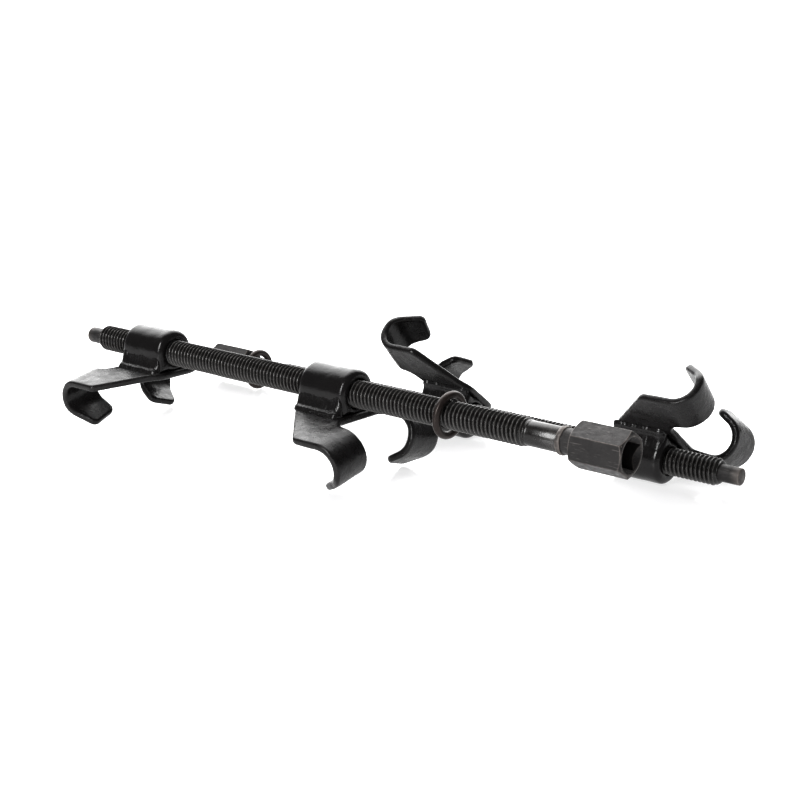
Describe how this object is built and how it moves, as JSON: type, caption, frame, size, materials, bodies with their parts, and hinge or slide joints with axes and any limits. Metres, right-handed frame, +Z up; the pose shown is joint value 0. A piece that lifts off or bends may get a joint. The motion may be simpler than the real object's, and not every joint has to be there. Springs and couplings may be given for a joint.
{
  "type": "coil spring compressor",
  "caption": "Pair of screw-type coil spring compressors: long threaded spindles with hexagonal drive heads, loose thrust rings and hooked jaws, one turned end for end and lying on its back.",
  "frame": {"origin": "centre of the footprint of the pair, on the surface that it lies on", "axes": "+X along both spindles, from the front unit's point towards its drive head; +Y from the front unit to the rear unit; +Z up"},
  "size_m": [0.3936, 0.198, 0.0686],
  "materials": {
    "spindle": "black oxide, oily sheen on the thread crests",
    "hex_drive": "dark phosphated steel, lightly scuffed edges",
    "head_weld": "dark phosphated weld",
    "thrust_ring": "brown-black satin steel",
    "enamel": "glossy black enamel over slightly rough steel",
    "weld": "black enamel over a rough weld bead"
  },
  "bodies": {
    "front_plain_claw": {"front_plain_claw_barrel": "enamel", "front_plain_claw_jaw_plate": "enamel", "front_plain_claw_weld_left": "weld", "front_plain_claw_weld_right": "weld"},
    "front_thrust_ring": {"front_thrust_ring": "thrust_ring"},
    "front_spindle": {"front_spindle": "spindle", "front_hex_drive": "hex_drive", "front_head_weld": "head_weld"},
    "front_threaded_claw": {"front_threaded_claw_barrel": "enamel", "front_threaded_claw_jaw_plate": "enamel", "front_threaded_claw_weld_left": "weld", "front_threaded_claw_weld_right": "weld"},
    "rear_plain_claw": {"rear_plain_claw_barrel": "enamel", "rear_plain_claw_jaw_plate": "enamel", "rear_plain_claw_weld_left": "weld", "rear_plain_claw_weld_right": "weld"},
    "rear_thrust_ring": {"rear_thrust_ring": "thrust_ring"},
    "rear_spindle": {"rear_spindle": "spindle", "rear_hex_drive": "hex_drive", "rear_head_weld": "head_weld"},
    "rear_threaded_claw": {"rear_threaded_claw_barrel": "enamel", "rear_threaded_claw_jaw_plate": "enamel", "rear_threaded_claw_weld_left": "weld", "rear_threaded_claw_weld_right": "weld"}
  },
  "joints": [
    {"name": "front_spindle_slide", "type": "slide", "parent": "front_plain_claw", "child": "front_thrust_ring", "axis": [-1, 0, 0], "range_m": [-0.105, 0.055]},
    {"name": "front_spindle_spin", "type": "hinge", "parent": "front_thrust_ring", "child": "front_spindle", "pos_m": [-0.18475, -0.05391, 0.04556], "axis": [-1, 0, 0], "range_deg": [-3824, 14738]},
    {"name": "front_threaded_claw_travel", "type": "slide", "parent": "front_thrust_ring", "child": "front_threaded_claw", "axis": [1, 0, 0], "range_m": [-0.027, 0.104]},
    {"name": "rear_spindle_slide", "type": "slide", "parent": "rear_plain_claw", "child": "rear_thrust_ring", "axis": [1, 0, 0], "range_m": [-0.0945, 0.133]},
    {"name": "rear_spindle_spin", "type": "hinge", "parent": "rear_thrust_ring", "child": "rear_spindle", "pos_m": [0.18475, 0.04469, 0.0132], "axis": [1, 0, 0], "range_deg": [-4108, 13249]},
    {"name": "rear_threaded_claw_travel", "type": "slide", "parent": "rear_thrust_ring", "child": "rear_threaded_claw", "axis": [-1, 0, 0], "range_m": [-0.029, 0.0935]},
    {"name": "rear_unit_lift", "type": "slide", "parent": "front_plain_claw", "child": "rear_plain_claw", "axis": [0, 0, 1], "range_m": [0, 0.2]}
  ],
  "couplings": [
    {"joint": "front_threaded_claw_travel", "follows": "front_spindle_spin", "m_per_rad": 0.00040425},
    {"joint": "rear_threaded_claw_travel", "follows": "rear_spindle_spin", "m_per_rad": 0.00040425}
  ]
}
